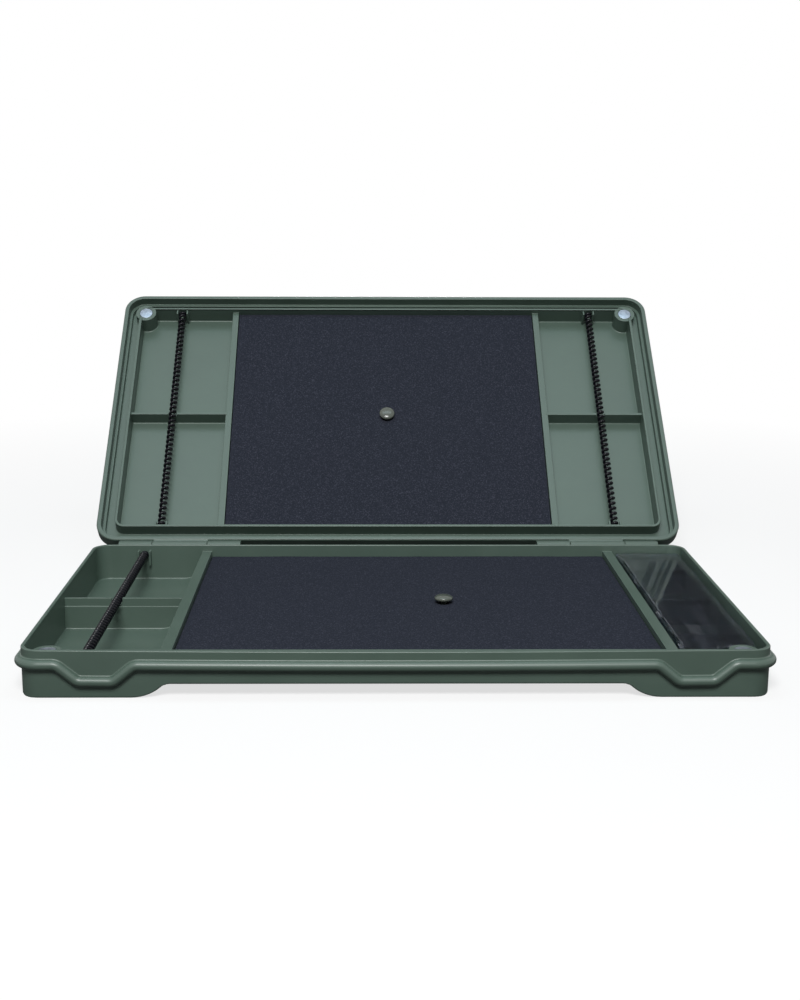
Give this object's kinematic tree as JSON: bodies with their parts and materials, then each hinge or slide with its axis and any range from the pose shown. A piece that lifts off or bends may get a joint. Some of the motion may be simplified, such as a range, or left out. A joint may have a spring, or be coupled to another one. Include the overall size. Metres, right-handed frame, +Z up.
{
  "type": "tackle rig box",
  "caption": "Flat two-part tackle case that opens like a book, with foam boards for rigs, spring racks over side compartments and a clear lidded inner box.",
  "frame": {"origin": "on the table, under the centre of the bounding box of the open case, as pictured", "axes": "+X to the right and +Y to the back as seen by someone who faces the open case, +Z up"},
  "size_m": [0.37, 0.3846, 0.1634],
  "materials": {
    "green_shell": "satin",
    "foam": "matte",
    "stud": "gloss",
    "magnet": "satin",
    "black_spring": "gloss",
    "pin_steel": "satin",
    "clear_plastic": "gloss"
  },
  "bodies": {
    "base": {"base_shell": "green_shell", "base_foam_board": "foam", "base_foam_stud": "stud", "base_magnet_left": "magnet", "base_magnet_right": "magnet", "base_spring": "black_spring", "hinge_pin_left": "pin_steel", "hinge_pin_right": "pin_steel", "tackle_box_tray": "clear_plastic"},
    "lid": {"lid_shell": "green_shell", "lid_foam_board": "foam", "lid_foam_stud": "stud", "lid_magnet_left": "magnet", "lid_magnet_right": "magnet", "lid_spring_left": "black_spring", "lid_spring_right": "black_spring"},
    "tackle_lid": {"tackle_box_lid": "clear_plastic"}
  },
  "joints": [
    {"name": "case_lid", "type": "hinge", "parent": "base", "child": "lid", "pos_m": [0, 0.02424, 0.0203], "axis": [1, 0, 0], "range_deg": [0, 138.3]},
    {"name": "tackle_box_lid_hinge", "type": "hinge", "parent": "base", "child": "tackle_lid", "pos_m": [0.1402, -0.08681, 0.02], "axis": [0, -1, 0], "range_deg": [0, 180]}
  ]
}
